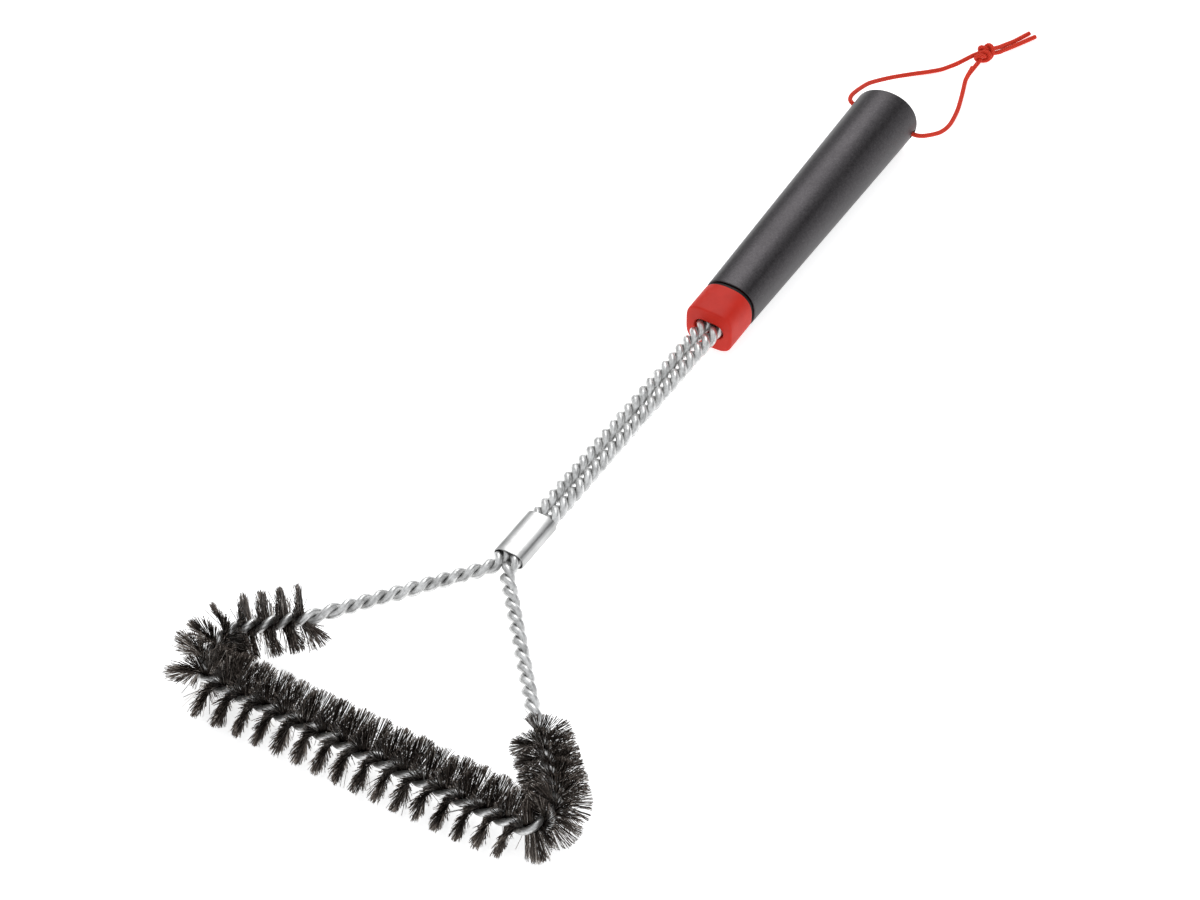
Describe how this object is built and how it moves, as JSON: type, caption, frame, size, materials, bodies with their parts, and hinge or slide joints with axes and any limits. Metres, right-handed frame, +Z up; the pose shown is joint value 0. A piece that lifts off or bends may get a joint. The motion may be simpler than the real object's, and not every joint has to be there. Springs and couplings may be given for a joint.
{
  "type": "grill cleaning brush",
  "caption": "Long-handled grill brush with a three-sided head of twisted steel wire and bristles, a tapered tube handle and a cord loop.",
  "frame": {"origin": "under the middle of the brush, on the surface that it lies on", "axes": "+Y along the handle towards its butt, +Z up, +X across to the right as seen from the head's front edge"},
  "size_m": [0.2005, 0.5526, 0.0368],
  "materials": {
    "zinc_wire": "matt zinc-plated steel wire",
    "bristle_steel": "dark stainless steel filaments with bright glints",
    "polished_steel": "polished steel tube",
    "handle_grey": "satin dark grey metallic lacquer",
    "red_plastic": "moulded satin plastic",
    "black_plastic": "moulded black plastic",
    "orange_cord": "braided cord"
  },
  "bodies": {
    "brush": {"wire_a": "zinc_wire", "wire_b": "zinc_wire", "bristles_left_a": "bristle_steel", "bristles_left_b": "bristle_steel", "bristles_left_corner_a": "bristle_steel", "bristles_left_corner_b": "bristle_steel", "bristles_front_a": "bristle_steel", "bristles_front_b": "bristle_steel", "bristles_right_corner_a": "bristle_steel", "bristles_right_corner_b": "bristle_steel", "bristles_right_a": "bristle_steel", "bristles_right_b": "bristle_steel", "ferrule": "polished_steel", "collar": "red_plastic", "spacer_ring": "black_plastic", "wire_core": "black_plastic", "handle_tube": "handle_grey", "end_plug": "black_plastic"},
    "loop": {"cord_loop": "orange_cord", "cord_knot": "orange_cord", "cord_tail_left": "orange_cord", "cord_tail_right": "orange_cord"}
  },
  "joints": [
    {"name": "loop_swing", "type": "hinge", "parent": "brush", "child": "loop", "pos_m": [-0.00191, 0.22597, 0.01453], "axis": [0.9595, 0.1151, -0.2571], "range_deg": [0, 110]}
  ]
}
